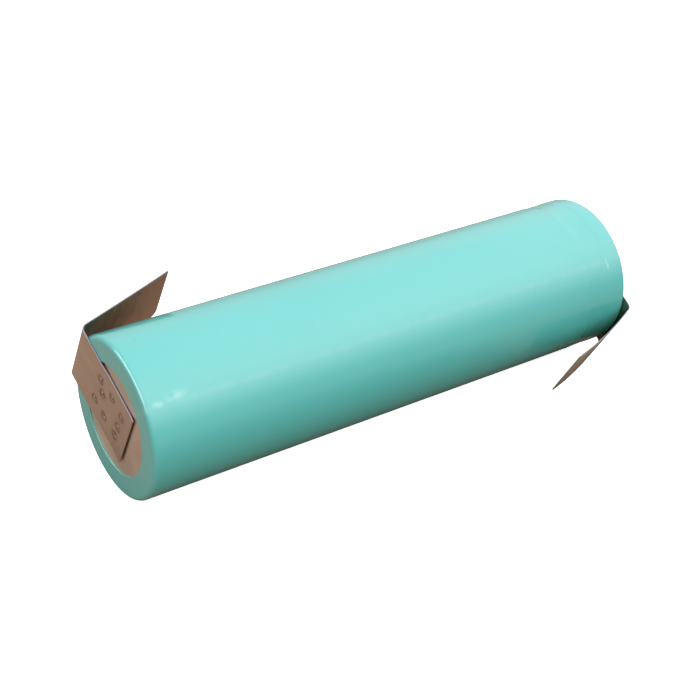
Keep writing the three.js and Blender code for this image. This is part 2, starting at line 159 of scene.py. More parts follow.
# Free legs: rounding of the tip's low corner, how far the leg bows, and how far its tip twists.
# The rounding of the high corner is the same for both.
NEGATIVE_LEG_SHAPE = (1.0 * MM, 0.04 * MM, -0.03 * MM)
POSITIVE_LEG_SHAPE = (0.3 * MM, -0.31 * MM, 0.10 * MM)
HIGH_CORNER = 0.2 * MM

# Positive end: washer's bore and edge break, and the pressed cap's sheet, boss, wall foot and windows.
WASHER_BORE = 5.9 * MM
WASHER_EDGE = 0.05 * MM
WASHER_WANDER = 0.03 * MM
CAP_SHEET = 0.4 * MM
CAP_BOSS = 4.5 * MM
CAP_ROOT = 5.4 * MM
CAP_ROUNDING = 0.22 * MM
CAP_MIDDLE = 0.3 * MM
CAP_WINDOW_HALF = math.asin(1.1 / 4.95)
END_STEPS = 192

# Studio sky: brightness of the upper sky and of the horizon, the direction it grows brighter in and
# between which heights, how far it leans to the front, its tint, and its brightness to the camera.
SKY = 1.03
SKY_LOW = 0.30
SKY_UP = (0.0, 0.18, 1.0)
SKY_RISE = (-0.3, 0.65)
SKY_LEAN = (0.20, -0.58, 0.0)
SKY_TINT = (0.985, 0.99, 1.0, 1)
SKY_SEEN = 1.2
WHITE = (1, 1, 1, 1)

# Floor: white to the camera, darker in the light that it sends up, and warm in reflections.
FLOOR_SIZE = 6.0
FLOOR_GLOW_SEEN = 0.85
FLOOR_GLOW = 0.1
FLOOR_BOUNCE = (0.165, 0.145, 0.09, 1)
# Painted shade: the light the floor sends up is darker under the far end.
FLOOR_BOUNCE_PAINTED_SHADE = (0.105, 0.10, 0.065, 1)
# The reflected tone under the cell, a painted shadow; at the positive leg, a painted pool of light; behind the
# cell, painted shade; at the negative end; and further out behind and in front.
FLOOR_MIRRORED_PAINTED_SHADOW = (0.105, 0.092, 0.065, 1)
FLOOR_MIRRORED_PAINTED_LIGHT = (0.30, 0.25, 0.20, 1)
FLOOR_MIRRORED_PAINTED_SHADE = (0.215, 0.15, 0.105, 1)
FLOOR_MIRRORED = (0.31, 0.235, 0.185, 1)
FLOOR_MIRRORED_FAR = (0.34, 0.40, 0.37, 1)
FLOOR_MIRRORED_FRONT = (0.36, 0.38, 0.36, 1)

# Soft lamp that adds a highlight: place from the cell's middle, size in metres, and power in watts.
LAMP_PLACE = Vector((-0.48, 0.07, 0.30))
LAMP_SIZE = (0.8, 0.35)
LAMP_POWER = 2.7

# Camera fitted to the photo: place in metres, lens and sensor in millimetres, and its three directions.
CAMERA_PLACE = (-0.05309, -0.10928, 0.09214)
CAMERA_LENS = 73.836
CAMERA_SENSOR = 36
CAMERA_RIGHT = Vector((0.82091, -0.56655, 0.07166))
CAMERA_UP = Vector((0.27087, 0.49678, 0.82453))
CAMERA_AHEAD = Vector((0.50273, 0.65744, -0.56127))

# Tones of the film, its specks of dirt as (mm along, degrees up, mm radius), and its painted highlights, which
# also have a factor that squeezes them along the cell.
FILM_TONES = ((0.105, 0.568, 0.533, 1), (0.119, 0.592, 0.557, 1))
FILM_CLOUD = (0.165, 0.635, 0.605, 1)
FILM_SPECK = (0.02, 0.10, 0.10, 1)
# Painted highlight: whitish tone standing in for reflections of the light on the film.
FILM_PAINTED_HIGHLIGHT = (0.50, 0.84, 0.82, 1)
SPECKS = ((0.35, 79, 0.07), (2.6, 90, 0.06), (2.3, 97, 0.045), (21, 63, 0.05), (44, 30, 0.05))
PAINTED_HIGHLIGHT_SPOTS = ((1.5, 40, 0.55, 0.6), (3.6, 42, 0.8, 0.45), (62.6, 36, 1.0, 3.5))

# Tones of the nickel: plain, rolled, a painted lighter copy for the positive strip, the painted dark reflection
# on the inner face, the cut edge and the parts of a spot weld with its painted highlight and painted shade.
NICKEL_TONES = ((0.70, 0.565, 0.47, 1), (0.78, 0.635, 0.53, 1))
NICKEL_ROLLED = (0.56, 0.45, 0.37, 1)
NICKEL_PAINTED_LIGHT = (1.0, 0.85, 0.74, 1)
NICKEL_PAINTED_REFLECTIONS = ((0.38, 0.255, 0.18, 1), (0.96, 0.66, 0.52, 1))
NICKEL_EDGE = (0.33, 0.32, 0.37, 1)
WELD_HALO = (0.60, 0.36, 0.20, 1)
WELD_BURN = (0.13, 0.07, 0.04, 1)
WELD_SCAR = (0.50, 0.48, 0.54, 1)
# Painted shade and painted highlight on each weld's nub.
WELD_PAINTED_SHADE = (0.05, 0.045, 0.05, 1)
WELD_PAINTED_HIGHLIGHT = (1.0, 0.98, 1.0, 1)

# Tones of the plated steel.
STEEL_TONES = ((0.76, 0.635, 0.545, 1), (0.84, 0.705, 0.61, 1))
STEEL_SPECKLE = (0.60, 0.49, 0.41, 1)

# Finishes of the mostly hidden pieces: slot, two sRGB tones, roughness, metallic, noise scale,
# relief in millimetres, and how much finer the pattern is along each axis.
EVEN = (1, 1, 1)
PLAIN_FINISHES = (
    ("aluminium_sheet", (190, 192, 194), (206, 207, 208), 0.38, 1.0, 500, 0.003, (1, 6, 1)),
    ("gasket_plastic", (208, 208, 203), (222, 222, 218), 0.48, 0.0, 300, 0.01, EVEN),
    ("insulating_card", (214, 209, 196), (232, 228, 217), 0.85, 0.0, 900, 0.02, EVEN),
    ("conductive_polymer", (30, 30, 32), (44, 44, 46), 0.62, 0.0, 800, 0.008, EVEN),
    ("anode_coating", (46, 44, 42), (60, 57, 54), 0.82, 0.1, 900, 0.012, EVEN),
    ("cathode_coating", (28, 29, 31), (38, 39, 41), 0.86, 0.1, 900, 0.012, EVEN),
    ("separator_film", (228, 228, 224), (240, 240, 237), 0.5, 0.0, 300, 0.006, EVEN),
    ("winding_tape", (176, 140, 62), (194, 158, 78), 0.36, 0.0, 250, 0.006, (6, 1, 1)),
)


# ---------------------------------------------------------------- meshes


def extent(node, direction):
    """Least and greatest distance of a CAD node's points along a direction."""
    along = [v.co.dot(direction) for v in frame["nodes"][node].data.vertices]
    return min(along), max(along)


def piece(name, points, faces, sharp=40):
    """Object of smooth faces whose normals point out, with sharp edges above an angle in degrees."""
    mesh = bpy.data.meshes.new(name)
    mesh.from_pydata([tuple(p) for p in points], [], faces)
    work = bmesh.new()
    work.from_mesh(mesh)
    bmesh.ops.recalc_face_normals(work, faces=work.faces)
    work.to_mesh(mesh)
    work.free()
    mesh.polygons.foreach_set("use_smooth", [True] * len(mesh.polygons))
    mesh.set_sharp_from_angle(angle=math.radians(sharp))
    obj = bpy.data.objects.new(name, mesh)
    bpy.context.scene.collection.objects.link(obj)
    return obj


def attribute(obj, name, values):
    """Stores a number or a point at each vertex for the piece's material."""
    values = np.asarray(values, np.float32)
    kind, field = ("FLOAT", "value") if values.ndim == 1 else ("FLOAT_VECTOR", "vector")
    obj.data.attributes.new(name, kind, "POINT").data.foreach_set(field, values.ravel())


def smooth(low, high, value):
    """0 at low, 1 at high and smooth between, where high may also be the smaller number."""
    t = np.clip((value - low) / (high - low), 0, 1)
    return t * t * (3 - 2 * t)


def fade(value, near, far):
    """1 up to near, 0 beyond far and smooth between."""
    return 1 - smooth(near, far, value)


def hump(away, width):
    """Bell curve: 1 at no distance, about a third at a distance of the width."""
    return np.exp(-((away / width) ** 2))


def wander(value, seed, waves=5):
    """Sum of a few sine waves with fixed random phases, from about -1 to 1."""
    rng = np.random.default_rng(seed)
    value = np.asarray(value, float)
    total = np.zeros_like(value)
    for k in range(1, waves + 1):
        total += np.sin(k * value + rng.uniform(0, FULL_TURN)) / math.sqrt(k)
    return total / waves * 1.6


def arc(centre, radius, first, last, steps):
    """Points of an arc in a turned section, angles from +X towards the outside."""
    angles = np.linspace(first, last, steps + 1)
    return [(centre[0] + radius * math.cos(a), centre[1] + radius * math.sin(a)) for a in angles]


def turned(section, steps, change=None, holes=None):
    """Closed ring turned about X from a closed section of (x, radius) points. change moves the points
    and holes(i, j) leaves out the faces between section points i and i + 1 at step j."""
    section = np.array(section)
    count = len(section)
    angles = np.arange(steps) * 2 * math.pi / steps
    x = np.repeat(section[:, 0][None, :], steps, 0)
    r = np.repeat(section[:, 1][None, :], steps, 0)
    a = np.repeat(angles[:, None], count, 1)
    if change:
        x, r = change(x, r, a)
    points = np.stack([x, r * np.cos(a), r * np.sin(a)], -1).reshape(-1, 3)
    faces = []
    for j in range(steps):
        here, ahead = j * count, (j + 1) % steps * count
        for i in range(count):
            if holes and holes(i, j):
                continue
            after = (i + 1) % count
            faces.append((here + i, ahead + i, ahead + after, here + after))
    return points, faces


# ---------------------------------------------------------------- sleeve


def sleeve_section():
    """The film's section: along its outside from the near opening to the far one, and back inside."""
    near, far = SLEEVE_LOW.x, SLEEVE_HIGH.x
    half = SLEEVE_WALL / 2
    outer = SLEEVE_RADIUS
    rim = outer - SLEEVE_RIM
    inner = SLEEVE_RIM - SLEEVE_WALL
    near_rim = (near + SLEEVE_RIM, rim)
    far_rim = (far - SLEEVE_RIM, rim)
    face = rim - 0.1 * MM
    cut = NEGATIVE_OPENING + CUT_EDGE
    bead = far - BEAD_FROM_END
    bead_half = 2.2 * MM
    before_bead = bead - 2.4 * MM
    section = arc((near + CUT_EDGE, cut), CUT_EDGE, 3 * QUARTER, 2 * QUARTER, 4)
    section += [(near, r) for r in np.linspace(NEGATIVE_OPENING + 2.5 * half, face, 9)]
    section += arc(near_rim, SLEEVE_RIM, 2 * QUARTER, QUARTER, 12)
    section += [(x, outer) for x in np.linspace(near + SLEEVE_RIM, before_bead, 46)[1:]]
    section += [(x, outer) for x in np.linspace(bead - bead_half, bead + bead_half, 34)]
    section += arc(far_rim, SLEEVE_RIM, QUARTER, 0, 12)
    section += [(far, r) for r in np.linspace(face, POSITIVE_OPENING + 2.5 * half, 8)]
    section += arc((far - half, POSITIVE_OPENING + half), half, 0, -2 * QUARTER, 8)
    section += arc(far_rim, inner, 0, QUARTER, 4)
    section += [(x, outer - SLEEVE_WALL) for x in np.linspace(bead + bead_half, bead - bead_half, 12)]
    section += arc(near_rim, inner, QUARTER, 2 * QUARTER, 4)
    section += arc((near + SLEEVE_WALL - CUT_EDGE, cut), CUT_EDGE, 0, -QUARTER, 3)
    return section


def bead_dip(x):
    """How far the sleeve sinks over the bead groove, with a faint ridge at each shoulder."""
    away = np.abs(x - (SLEEVE_HIGH.x - BEAD_FROM_END))
    sunk = BEAD_DIP * smooth(0, 1, (BEAD_REACH - away) / BEAD_SLOPE)
    return sunk - BEAD_RIDGE * hump(away - BEAD_REACH, BEAD_RIDGE_WIDTH)


def shape_sleeve(x, r, a):
    """Small unevenness of the shrunk film. Its body only ever moves inwards from the CAD's outline,
    and its two openings wander in and out."""
    along = (x - SLEEVE_LOW.x) / (SLEEVE_HIGH.x - SLEEVE_LOW.x)
    body = r > SLEEVE_RADIUS - SLEEVE_WALL - 0.01 * MM
    from_crease = np.angle(np.exp(1j * (a - (math.pi - CREASE_ANGLE))))
    sink = FILM_SINK + FILM_SINK_CHANGE * wander(along * 14 + 0.7 * np.sin(a), FILM_SEED)
    sink = np.maximum(sink - CREASE_HEIGHT * hump(from_crease, CREASE_WIDTH) + bead_dip(x), 0)
    r = np.where(body, r - sink, r)
    near = along < 0.5
    opening = np.where(near, NEGATIVE_OPENING, POSITIVE_OPENING)
    lip = fade(r - opening, 0, LIP_WIDTH)
    uneven = np.where(near, wander(a, NEGATIVE_LIP_SEED, 7), wander(a, POSITIVE_LIP_SEED, 7))
    return x, r + lip * LIP_WANDER * uneven


def make_sleeve():
    """The film, with the crease stored for its material's painted highlight."""
    points, faces = turned(sleeve_section(), SLEEVE_STEPS, shape_sleeve)
    obj = piece("sleeve_film", points, faces, 60)
    from_crease = np.arctan2(points[:, 2], -points[:, 1]) - CREASE_ANGLE
    attribute(obj, "crease", hump(from_crease, CREASE_HIGHLIGHT_WIDTH))
    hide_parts("sleeve")
    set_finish(obj, "sleeve_film")
    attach(obj, "cell")
    return obj


# ---------------------------------------------------------------- positive end


def make_washer():
    """Insulating ring under the sleeve's far lip, with an uneven punched bore."""
    outer = SLEEVE_RADIUS - SLEEVE_RIM
    low, high = WASHER_LOW.x, WASHER_HIGH.x
    bore, soft = WASHER_BORE, WASHER_EDGE
    section = [(low + soft, outer), (high - soft, outer), (high, outer - soft)]
    section += [(high, r) for r in np.linspace(outer - 0.3 * MM, bore + 0.1 * MM, 8)]
    section += [(high, bore + soft), (high - soft, bore), (low + soft, bore)]
    section += [(low, bore + soft), (low, outer - soft)]

    def uneven(x, r, a):
        at_bore = fade(r - bore, 0, 0.5 * MM)
        return x, r + at_bore * WASHER_WANDER * wander(a, WASHER_SEED, 9)

    points, faces = turned(section, END_STEPS, uneven)
    obj = piece("washer_ring", points, faces)
    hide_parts("top_washer")
    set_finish(obj, "insulating_card")
    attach(obj, "cell")
    return obj


def cap_section():
    """The cap's section, outside from flange to middle and back inside, and the number of its first
    point on the wall."""
    top, base = CAP_HIGH.x, CAP_LOW.x
    flange = base + CAP_SHEET
    flange_edge = CAP_HIGH.z - 0.06 * MM
    wall_top = top - 0.3 * MM
    window_low = flange + 0.15 * MM
    window_high = top - CAP_SHEET - 0.1 * MM

    def wall_radius(x):
        return CAP_ROOT + (CAP_BOSS + 0.12 * MM - CAP_ROOT) * (x - flange) / (wall_top - flange)

    outer = [(flange, flange_edge)]
    outer += [(flange, r) for r in np.linspace(CAP_HIGH.z - 0.3 * MM, CAP_ROOT + 0.22 * MM, 10)]
    outer += [(flange + 0.02 * MM, CAP_ROOT + 0.1 * MM)]
    wall_start = len(outer)
    heights = [flange + 0.07 * MM, window_low, (window_low + window_high) / 2, window_high]
    outer += [(x, wall_radius(x)) for x in heights]
    shoulder = (top - CAP_ROUNDING, CAP_BOSS - 0.1 * MM)
    outer += arc(shoulder, CAP_ROUNDING, math.radians(65), 0, 6)
    outer += [(top, r) for r in np.linspace(CAP_BOSS - 0.5 * MM, CAP_MIDDLE, 8)]
    inner = []
    for x, r in outer:
        inside = r if r > CAP_ROOT else max(r - CAP_SHEET * 0.95, CAP_MIDDLE)
        inner.append((max(x - CAP_SHEET, base), inside))
    inner[0] = (base, flange_edge)
    wall = [(x, wall_radius(x) - CAP_SHEET * 0.9) for x in heights]
    inner[wall_start : wall_start + len(wall)] = wall
    return outer + inner[::-1], wall_start


def make_cap():
    """Pressed cap: a flange, a sloping wall with four windows, and a flat top with a rounded edge."""
    section, wall_start = cap_section()
    count = len(section)
    steps = END_STEPS
    window_rows = (wall_start + 1, wall_start + 2)

    def window(i, j):
        middle = (j + 0.5) * FULL_TURN / steps
        away = abs((middle + QUARTER / 2) % QUARTER - QUARTER / 2)
        row = i if i < count / 2 else count - 2 - i
        return away < CAP_WINDOW_HALF and row in window_rows

    points, faces = turned(section, steps, None, window)
    for j in range(steps):
        here, ahead = j * count, (j + 1) % steps * count
        if not window(window_rows[0], j):
            continue
        for i in window_rows:
            mate = count - 1 - i
            for other, side in ((j - 1, here), (j + 1, ahead)):
                if not window(i, other % steps):
                    faces.append((side + i, side + i + 1, side + mate - 1, side + mate))
        for i in (window_rows[0], window_rows[1] + 1):
            mate = count - 1 - i
            faces.append((here + i, ahead + i, ahead + mate, here + mate))
    last_outer = count // 2 - 1
    first_inner = last_outer + 1
    faces = [f for f in faces if not {last_outer, first_inner} <= {k % count for k in f}]
    hub = len(points)
    points = np.vstack([points, [(CAP_HIGH.x, 0, 0), (CAP_HIGH.x - CAP_SHEET, 0, 0)]])
    for j in range(steps):
        here, ahead = j * count, (j + 1) % steps * count
        faces.append((here + last_outer, ahead + last_outer, hub))
        faces.append((here + first_inner, ahead + first_inner, hub + 1))
    obj = piece("cap_shell", points, faces, 45)
    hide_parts("positive_cap")
    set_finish(obj, "plated_steel")
    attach(obj, "cell")
    return obj


# ---------------------------------------------------------------- nickel strips


class Strip:
    """One nickel strip: flat on the end, round its fold, and out along the free leg.

    In its own frame x points into the cell, s runs from the axis to the fold and w across the strip.
    t runs along the strip's middle surface and equals s on the flat part."""

    def __init__(self, side, welds, gap_to_cell, leg_shape):
        joint = next(j for j in frame["joints"] if j["name"] == side + "_tab_bend")
        self.side = side
        self.welds = [(s * MM, w * MM) for s, w in welds]
        self.boss = gap_to_cell - WELD_GAP
        self.tip_round, self.bow, self.twist = leg_shape
        self.turn = math.radians(joint["range_deg"][1])
        self.across = Vector(joint["axis"]).normalized()
        sign = 1 if side == "negative" else -1
        self.inward = X_AXIS * sign
        self.outward = self.across.cross(X_AXIS) * sign
        self.origin = Vector((CAD_BOX[0][0] if sign > 0 else CAD_BOX[1][0], 0, 0))
        base, leg = side + "_tab_base", side + "_tab_leg"
        self.low, self.high = extent(base, self.across)
        self.middle = (self.low + self.high) / 2
        self.start, self.bend = extent(base, self.outward)
        self.bend += STRIP_GAP
        self.middle_radius = FOLD_INNER + STRIP / 2
        self.outer_radius = FOLD_INNER + STRIP
        self.leg_start = self.bend + self.middle_radius * self.turn
        direction = self.inward * math.sin(self.turn) + self.outward * math.cos(self.turn)
        far = extent(leg, direction)
        self.length = far[1] - far[0] + STRIP_GAP
        self.tip = self.leg_start + self.length

    def place(self, t, w, depth):
        """World points of the strip, depth in from its outer face."""
        t, w, depth = np.broadcast_arrays(t, w, depth)
        phi = np.clip((t - self.bend) / self.middle_radius, 0, self.turn)
        nx, ns = -np.cos(phi), np.sin(phi)
        run = np.where(t < self.bend, t - self.bend, np.maximum(t - self.leg_start, 0))
        x = self.outer_radius * (1 + nx) + run * np.sin(phi) - depth * nx
        s = self.bend + self.outer_radius * ns + run * np.cos(phi) - depth * ns
        flat = t < self.bend
        x = np.where(flat, depth, x)
        s = np.where(flat, t, s)
        out = np.array(self.origin) + x[..., None] * np.array(self.inward)
        return out + s[..., None] * np.array(self.outward) + w[..., None] * np.array(self.across)

    def leg_bend(self, t, w):
        """How far the free leg is out of true, along the normal of its outer face."""
        reach = np.clip((t - self.leg_start) / self.length, 0, 1)
        centre = (w - self.middle) / (self.high - self.low)
        off = self.bow * reach * (1 - reach) * 4 + self.twist * centre * smooth(0, 1, reach)
        normal = -np.array(self.inward) * math.cos(self.turn) + np.array(self.outward) * math.sin(self.turn)
        return off[..., None] * normal


def corner_loss(away, radius):
    """How much a rounded corner takes off the tip at a distance in from the strip's side."""
    inside = np.clip(1 - away / radius, 0, 1)
    return radius * (1 - np.sqrt(1 - inside**2))


def strip_rows(strip):
    """Distances along the strip, close together over the welds and round the fold."""
    weld_end = max(s for s, _ in strip.welds) + 0.9 * MM
    rows = list(np.arange(strip.start + EDGE, weld_end, 0.095 * MM))
    rows += list(np.linspace(weld_end, strip.bend, 16))
    rows += list(np.linspace(strip.bend, strip.leg_start, 19)[1:])
    rows += list(np.linspace(strip.leg_start, strip.tip - EDGE, 44)[1:])
    return np.array(rows)


def strip_columns(strip):
    """Distances across the strip, close together where the tip's corners are round."""
    corner = np.linspace(0, QUARTER, 9)[1:]
    high_start = strip.high - HIGH_CORNER - 0.04 * MM
    columns = [strip.low + EDGE]
    columns += list(strip.low + EDGE + strip.tip_round * (1 - np.cos(corner)))
    columns += list(np.linspace(columns[-1], high_start, 78)[1:])
    columns += list(np.linspace(high_start, strip.high - EDGE, 5)[1:])
    return np.array(columns)


def strip_grid(strip, columns):
    """Points round the strip's section, one row for each place along it and one more at each end.
    Gives each point's t, w and depth, and the depth at which each column of points starts out."""
    rows = strip_rows(strip)
    count = len(columns)
    around = np.concatenate([columns, [strip.high] * 2, columns[::-1], [strip.low] * 2])
    outer_side, inner_side = np.zeros(count), np.full(count, STRIP)
    layer = np.concatenate([outer_side, [EDGE, STRIP - EDGE], inner_side, [STRIP - EDGE, EDGE]])
    in_leg = np.clip((rows - strip.leg_start) / (strip.tip - EDGE - strip.leg_start), 0, 1)
    loss = corner_loss(around - strip.low, strip.tip_round) + corner_loss(strip.high - around, HIGH_CORNER)
    t = rows[:, None] - in_leg[:, None] * loss[None, :]
    w = np.repeat(around[None, :], len(rows), 0)
    depth = np.repeat(layer[None, :], len(rows), 0)
    end_w = np.clip(around, strip.low + EDGE, strip.high - EDGE)
    end_depth = np.clip(layer, EDGE, STRIP - EDGE)
    t = np.vstack([t[0] - EDGE, t, t[-1] + EDGE])
    w = np.vstack([end_w, w, end_w])
    depth = np.vstack([end_depth, depth, end_depth])
    return t, w, depth, layer


def strip_faces(rings, around, count):
    """Faces between the rings of points, and the two ends. count is the number of columns of one side."""
    faces = []
    for i in range(rings - 1):
        for j in range(around):
            k = (j + 1) % around
            faces.append((i * around + j, i * around + k, (i + 1) * around + k, (i + 1) * around + j))
    for start in (0, (rings - 1) * around):
        for j in range(count - 1):
            mate = 2 * count + 1 - j
            faces.append((start + j, start + j + 1, start + mate - 1, start + mate))
        faces.append(tuple(start + count + k for k in (-1, 0, 1, 2)))
        faces.append((start, start + around - 1, start + around - 2, start + 2 * count + 1))
    return faces


def dent(r, depth, near, far):
    """Depth of a round dent at distance r from its middle."""
    return depth * fade(r, near, far)


def weld_marks(strip, t, w):
    """The spot welds as masks for the material, how deep their craters are in the outer face, and how
    far their backs stand out of the inner one. A weld's painted highlight and its painted shade are opposite each
    other, and fainter on the positive strip."""
    masks = {name: np.zeros_like(t) for name in ("burn", "halo", "scar", "painted_glint", "painted_weld_shade")}
    sunk = np.zeros_like(t)
    raised = np.zeros_like(t)

    def mark(name, mask):
        masks[name] = np.maximum(masks[name], mask)

    rng = np.random.default_rng(WELD_SEEDS[strip.side])
    for s, v in strip.welds:
        size = rng.uniform(0.94, 1.1)
        phase = rng.uniform(0, FULL_TURN)
        lean = rng.uniform(-NUB_LEAN, NUB_LEAN, 2) * MM
        angle = np.arctan2(w - v, t - s)
        ragged = 1 + 0.07 * np.sin(3 * angle + phase) + 0.05 * np.sin(5 * angle - phase)
        r = np.hypot(t - s, w - v) * size * ragged
        r_nub = np.hypot(t - s - lean[0], w - v - lean[1]) * size
        lumps = WELD_LUMPS * (1 + 0.5 * np.sin(4 * angle + 2 * phase)) * fade(r_nub, *LUMPS_RADII)
        crater = dent(r, *CRATER_PIT) - dent(r_nub, *CRATER_NUB) + dent(r, *CRATER_DISH)
        sunk += np.clip(crater + lumps, 0, WELD_DEEPEST)
        raised += (strip.boss - WELD_DEEPEST) * fade(r, *BACK_RADII)
        ring = smooth(*SCAR_RADII, r) * fade(r, *BURN_RADII)
        mark("burn", ring * (0.75 + 0.25 * np.sin(2 * angle + phase)))
        mark("halo", fade(r, *HALO_RADII) * (0.8 + 0.2 * np.sin(angle - phase)))
        mark("scar", fade(r, *SCAR_RADII))
        # Painted highlight and painted shade: a white spot and a dark spot on opposite sides of the middle.
        turn = rng.uniform(0, FULL_TURN)
        step = GLINT_FROM_MIDDLE * np.array([math.cos(turn), math.sin(turn)])
        for name, way in (("painted_glint", 1), ("painted_weld_shade", -1)):
            away = np.hypot(t - s - way * step[0], w - v - way * step[1])
            mark(name, fade(away, *GLINT_RADII))
    if strip.side == "positive":
        masks["painted_glint"] *= 0.5
        masks["painted_weld_shade"] *= 0.5
    return masks, sunk, raised


def make_strip(strip):
    """One strip with its spot welds, and masks for its material."""
    columns = strip_columns(strip)
    t, w, depth, layer = strip_grid(strip, columns)
    masks, sunk, raised = weld_marks(strip, t, w)
    depth += np.where(layer == 0, sunk, 0) + np.where(layer == STRIP, raised, 0)
    wavy = STRIP_WAVES * (1 + wander(t * 380 + w * 240, STRIP_SEED))
    wavy *= fade(t, strip.bend - 1.5 * MM, strip.bend) * smooth(0, 0.8 * MM, t - strip.start)
    pressed = STRIP_PRESSED * fade(t, 2.4 * MM, 4.4 * MM)
    pressed *= smooth(strip.start - 0.2 * MM, strip.start + 1.0 * MM, t)
    depth += wavy + pressed
    points = strip.place(t, w, depth) - strip.leg_bend(t, w)
    rings, around = t.shape
    faces = strip_faces(rings, around, len(columns))
    obj = piece(strip.side + "_strip", points.reshape(-1, 3), faces)

    at_side = (w[1] <= strip.low + EDGE) | (w[1] >= strip.high - EDGE)
    masks["edge"] = np.broadcast_to(at_side, t.shape)
    masks["inner"] = np.broadcast_to(layer > STRIP / 2, t.shape)
    masks["reach"] = np.clip((t - strip.leg_start) / strip.length, 0, 1)
    # Painted light: the positive strip's nickel is made lighter all over.
    masks["painted_lighter_copy"] = np.full(t.shape, strip.side == "positive")
    for name, mask in masks.items():
        attribute(obj, name, mask.ravel())
    attribute(obj, "lie", np.stack([t, w, depth], -1).reshape(-1, 3))

    names = [strip.side + "_tab_" + part for part in ("base", "fold", "leg")]
    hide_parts(*names)
    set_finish(obj, "nickel_strip")
    first = strip.place(np.array(strip.bend), np.array(strip.middle), np.array(STRIP / 2))
    last = strip.place(np.array(strip.leg_start), np.array(strip.middle), np.array(STRIP / 2))
    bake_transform(obj)
    return obj


# ---------------------------------------------------------------- nodes


class Nodes:
    """Short ways to add nodes to a node tree. A value is a number, a colour or another node's output."""

    def __init__(self, tree):
        self.tree = tree

    def add(self, kind, **inputs):
        node = self.tree.nodes.new(kind)
        for name, value in inputs.items():
            self.link(value, node.inputs[name.replace("_", " ")])
        return node

    def link(self, value, socket):
        if isinstance(value, bpy.types.NodeSocket):
            self.tree.links.new(value, socket)
        else:
            socket.default_value = value

    def math(self, operation, a, b=0.0, c=0.0, clamp=False):
        node = self.add("ShaderNodeMath")
        node.operation = operation
        node.use_clamp = clamp
        for value, socket in zip((a, b, c), node.inputs):
            self.link(value, socket)
        return node.outputs[0]

    def vector(self, operation, a, b):
        """Result of a vector operation that gives a number."""
        node = self.add("ShaderNodeVectorMath")
        node.operation = operation
        self.link(a, node.inputs[0])
        self.link(b, node.inputs[1])
        return node.outputs["Value"]

    def mix(self, factor, a, b):
        node = self.add("ShaderNodeMix")
        node.data_type = "RGBA"
        self.link(factor, node.inputs["Factor"])
        self.link(a, node.inputs[6])
        self.link(b, node.inputs[7])
        return node.outputs[2]

    def band(self, value, low, high, top=1.0, kind="SMOOTHSTEP"):
        """0 below low and top above high."""
        node = self.add("ShaderNodeMapRange")
        node.interpolation_type = kind
        for k, v in enumerate((value, low, high, 0.0, top)):
            self.link(v, node.inputs[k])
        return node.outputs[0]

    def by_ray(self, ray, yes, no):
        """A shader that is yes for one kind of ray and no for every other."""
        chosen = self.add("ShaderNodeLightPath").outputs[ray]
        node = self.add("ShaderNodeMixShader")
        for value, socket in zip((chosen, no, yes), node.inputs):
            self.link(value, socket)
        return node.outputs[0]


class Shader(Nodes):
    """A Principled material, with patterns in the model's frame."""

    def __init__(self, name, **sockets):
        self.material = bpy.data.materials.new(name)
        self.material.use_nodes = True
        super().__init__(self.material.node_tree)
        self.principled = next(n for n in self.tree.nodes if n.type == "BSDF_PRINCIPLED")
        self.place = self.add("ShaderNodeTexCoord").outputs["Object"]
        for socket, value in sockets.items():
            self.principled.inputs[socket.replace("_", " ")].default_value = value

    def stretched(self, scale, source=None):
        node = self.add("ShaderNodeMapping")
        self.link(source or self.place, node.inputs["Vector"])
        node.inputs["Scale"].default_value = scale
        return node.outputs[0]

    def noise(self, scale, detail=3.0, source=None):
        node = self.add("ShaderNodeTexNoise", Scale=scale, Detail=detail, Roughness=0.5)
        self.link(source or self.place, node.inputs["Vector"])
        return node.outputs["Fac"]

    def attribute(self, name, output="Fac"):
        node = self.add("ShaderNodeAttribute")
        node.attribute_name = name
        return node.outputs[output]

    def spot(self, along, degrees, size, core, stretch=1):
        """Round mask on the sleeve at a distance from its negative end and an angle up from its
        front: 1 inside the core, 0 outside the size. Both are in metres, and stretch squeezes it
        along the cell."""
        angle = math.radians(degrees)
        point = (
            (SLEEVE_LOW.x + along * MM) * stretch,
            -SLEEVE_RADIUS * math.cos(angle),
            SLEEVE_RADIUS * math.sin(angle),
        )
        return self.band(self.vector("DISTANCE", self.stretched((stretch, 1, 1)), point), size, core)

    def any_of(self, masks):
        """Greatest of several masks."""
        greatest = masks[0]
        for mask in masks[1:]:
            greatest = self.math("MAXIMUM", greatest, mask)
        return greatest

    def cover(self, colour, mask, strength, tone):
        """The colour with a tone laid over it where a mask is 1."""
        return self.mix(self.math("MULTIPLY", mask, strength), colour, tone)

    def bump(self, height, distance, strength, under=None):
        node = self.add("ShaderNodeBump", Strength=strength, Distance=distance, Height=height)
        if under is not None:
            self.link(under, node.inputs["Normal"])
        return node.outputs["Normal"]

    def finish(self, colour, roughness, normal):
        self.link(colour, self.principled.inputs["Base Color"])
        self.link(roughness, self.principled.inputs["Roughness"])
        self.link(normal, self.principled.inputs["Normal"])
        return self.material


# ---------------------------------------------------------------- materials


def linear(red, green, blue):
    """Colour socket value from sRGB numbers of 0 to 255."""
    parts = [c / 255 for c in (red, green, blue)]
    return [c / 12.92 if c <= 0.04045 else ((c + 0.055) / 1.055) ** 2.4 for c in parts] + [1.0]


